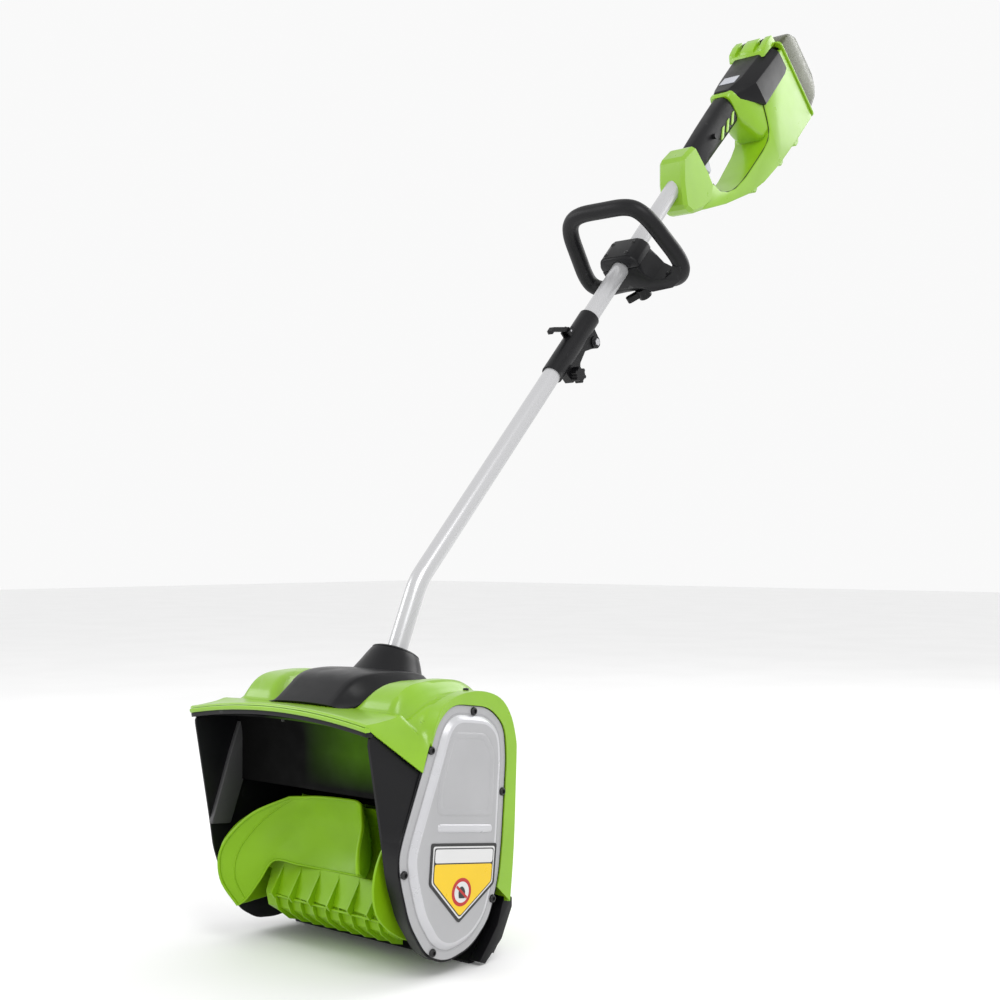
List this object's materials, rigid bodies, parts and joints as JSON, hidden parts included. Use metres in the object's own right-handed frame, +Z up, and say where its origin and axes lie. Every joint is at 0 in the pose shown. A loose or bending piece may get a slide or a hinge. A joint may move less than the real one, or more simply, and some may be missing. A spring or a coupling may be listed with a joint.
{
  "type": "cordless snow shovel",
  "caption": "Cordless snow shovel: powered scoop rotor in a hooded housing on a bent shaft, with loop handle, trigger grip and battery bay.",
  "frame": {"origin": "middle of the scraper bar's bottom edge, on the ground", "axes": "+X across the mouth towards the belt side, -Y out of the mouth, the shaft rises towards +Y, +Z up"},
  "size_m": [0.336, 1.1343, 1.3126],
  "materials": {
    "green_plastic": "glossy moulded ABS",
    "green_insert": "satin moulded ABS",
    "black_plastic": "fine-textured moulded polypropylene",
    "battery_black": "satin moulded housing",
    "soft_grip": "fine-textured soft overmould",
    "silver_cover": "silver powder coat with a fine grain",
    "label": "printed film without words",
    "black_screw": "black oxide",
    "shaft_aluminium": "satin anodised",
    "steel": "zinc plated",
    "motor_steel": "grey coated can",
    "pulley_metal": "turned",
    "belt_rubber": "ribbed",
    "cable_rubber": "matt sheath",
    "grey_trigger": "satin grey",
    "circuit_board": "solder mask",
    "contact_brass": "plain",
    "smoke_door": "smoke-tinted clear polycarbonate"
  },
  "bodies": {
    "housing": {"left_side_panel": "black_plastic", "right_side_panel": "black_plastic", "belt_cover": "silver_cover", "belt_cover_screws": "black_screw", "cover_label": "label", "hood_shell": "green_plastic", "hood_screws": "black_screw", "chamber_roof": "green_plastic", "rear_wall": "black_plastic", "scraper_bar": "black_plastic", "scraper_screws": "black_screw", "rear_guard": "black_plastic", "motor_cover": "black_plastic", "shaft_boot": "black_plastic", "shaft_bracket": "steel", "motor_can": "motor_steel", "motor_end_cap": "black_plastic", "motor_plate": "steel", "drive_belt": "belt_rubber", "rotor_bearing_left": "steel", "rotor_bearing_right": "steel", "left_bearing_cap": "black_plastic", "lower_tube": "shaft_aluminium", "coupler_sleeve": "black_plastic", "coupler_bolt": "steel", "lever_pin": "steel", "power_cable": "cable_rubber"},
    "motor_drive": {"motor_spindle": "steel", "motor_pulley": "pulley_metal"},
    "rotor": {"rotor_axle": "steel", "rotor_pulley": "pulley_metal", "rotor_scoop_front": "green_plastic", "rotor_scoop_back": "green_plastic"},
    "clamp_knob": {"coupler_knob": "black_plastic"},
    "release_lever": {"coupler_lever": "black_plastic"},
    "upper_shaft": {"upper_tube": "shaft_aluminium", "handle_shell_right": "green_plastic", "handle_shell_left": "green_plastic", "handle_screws": "black_screw", "grip_sleeve": "soft_grip", "grip_inserts": "green_insert", "trigger_pin": "steel", "trigger_switch": "black_plastic", "trigger_spring": "steel", "control_board": "circuit_board", "top_cover": "black_plastic", "battery_rim": "green_plastic", "door_pin": "steel", "battery_tray": "black_plastic", "battery_terminals": "contact_brass", "latch_pin": "steel"},
    "loop_grip": {"loop_handle": "soft_grip", "loop_clamp": "black_plastic", "loop_clamp_screws": "black_screw"},
    "wing_knob_body": {"wing_knob": "black_plastic"},
    "trigger_body": {"trigger": "grey_trigger"},
    "lock_button_body": {"lock_button": "black_plastic"},
    "battery": {"battery_pack": "battery_black"},
    "door": {"battery_door": "smoke_door"},
    "latch": {"door_latch": "black_plastic"}
  },
  "joints": [
    {"name": "rotor_spin", "type": "hinge", "parent": "housing", "child": "rotor", "pos_m": [0, -0.059, 0.099], "axis": [1, 0, 0], "continuous": true},
    {"name": "motor_spin", "type": "hinge", "parent": "housing", "child": "motor_drive", "pos_m": [0.16, -0.03, 0.251], "axis": [1, 0, 0], "continuous": true},
    {"name": "clamp_knob_turn", "type": "hinge", "parent": "housing", "child": "clamp_knob", "pos_m": [0, 0.3631, 0.71076], "axis": [1, 0, 0], "range_deg": [0, 360]},
    {"name": "release_lever_press", "type": "hinge", "parent": "housing", "child": "release_lever", "pos_m": [0, 0.356, 0.77207], "axis": [1, 0, 0], "range_deg": [0, 14], "stiffness_Nm_per_rad": 0.3},
    {"name": "upper_shaft_pull", "type": "slide", "parent": "housing", "child": "upper_shaft", "axis": [0, 0.682, 0.7314], "range_m": [0, 0.05]},
    {"name": "loop_slide", "type": "slide", "parent": "upper_shaft", "child": "loop_grip", "axis": [0, 0.682, 0.7314], "range_m": [-0.08, 0.1]},
    {"name": "wing_knob_turn", "type": "hinge", "parent": "loop_grip", "child": "wing_knob_body", "pos_m": [0, 0.53381, 0.84691], "axis": [0, -0.7314, 0.682], "range_deg": [0, 360]},
    {"name": "trigger_pull", "type": "hinge", "parent": "upper_shaft", "child": "trigger_body", "pos_m": [0, 0.67841, 1.07235], "axis": [1, 0, 0], "range_deg": [0, 12], "stiffness_Nm_per_rad": 0.15, "deforming": ["trigger_spring"]},
    {"name": "lock_press", "type": "slide", "parent": "upper_shaft", "child": "lock_button_body", "axis": [-1, 0, 0], "range_m": [0, 0.0035], "stiffness_N_per_m": 300},
    {"name": "door_open", "type": "hinge", "parent": "upper_shaft", "child": "door", "pos_m": [0, 0.8353, 1.29045], "axis": [1, 0, 0], "range_deg": [0, 105]},
    {"name": "battery_slide", "type": "slide", "parent": "upper_shaft", "child": "battery", "axis": [0, 0.682, 0.7314], "range_m": [0, 0.03]},
    {"name": "latch_press", "type": "hinge", "parent": "upper_shaft", "child": "latch", "pos_m": [0, 0.93748, 1.17055], "axis": [-1, 0, 0], "range_deg": [0, 10], "stiffness_Nm_per_rad": 0.2}
  ],
  "couplings": [
    {"joint": "motor_spin", "follows": "rotor_spin", "ratio": 4},
    {"joint": "battery_slide", "follows": "door_open", "m_per_rad": 0.013096}
  ]
}
